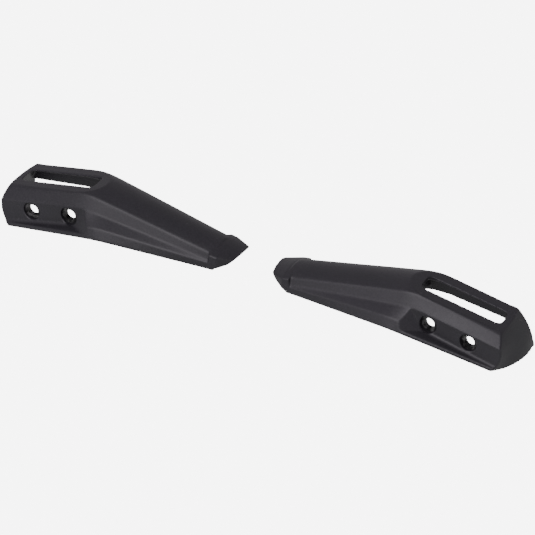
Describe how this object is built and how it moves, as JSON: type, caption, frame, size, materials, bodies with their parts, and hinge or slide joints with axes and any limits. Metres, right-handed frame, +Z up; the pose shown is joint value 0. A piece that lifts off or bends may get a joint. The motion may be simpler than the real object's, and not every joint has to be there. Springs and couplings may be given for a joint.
{
  "type": "skate blade guards",
  "caption": "Mirrored pair of black moulded bolt-on guards, each a bent hollow cover with a slotted top and counterbored sleeved bolt holes.",
  "frame": {"origin": "on the plane the pair stands on, midway between the two guards and midway between the front and the back", "axes": "+X along the pair from the left guard to the right guard, +Y from the show face to the back, +Z up; a mirror plane lies at X = 0"},
  "size_m": [0.3226, 0.0461, 0.0385],
  "materials": {
    "guard_plastic": "fine moulded grain, satin black",
    "sleeve_metal": "blackened steel, satin"
  },
  "bodies": {
    "root": {"left_guard": "guard_plastic", "left_inner_sleeve": "sleeve_metal", "left_outer_sleeve": "sleeve_metal", "right_guard": "guard_plastic", "right_inner_sleeve": "sleeve_metal", "right_outer_sleeve": "sleeve_metal"}
  },
  "joints": []
}
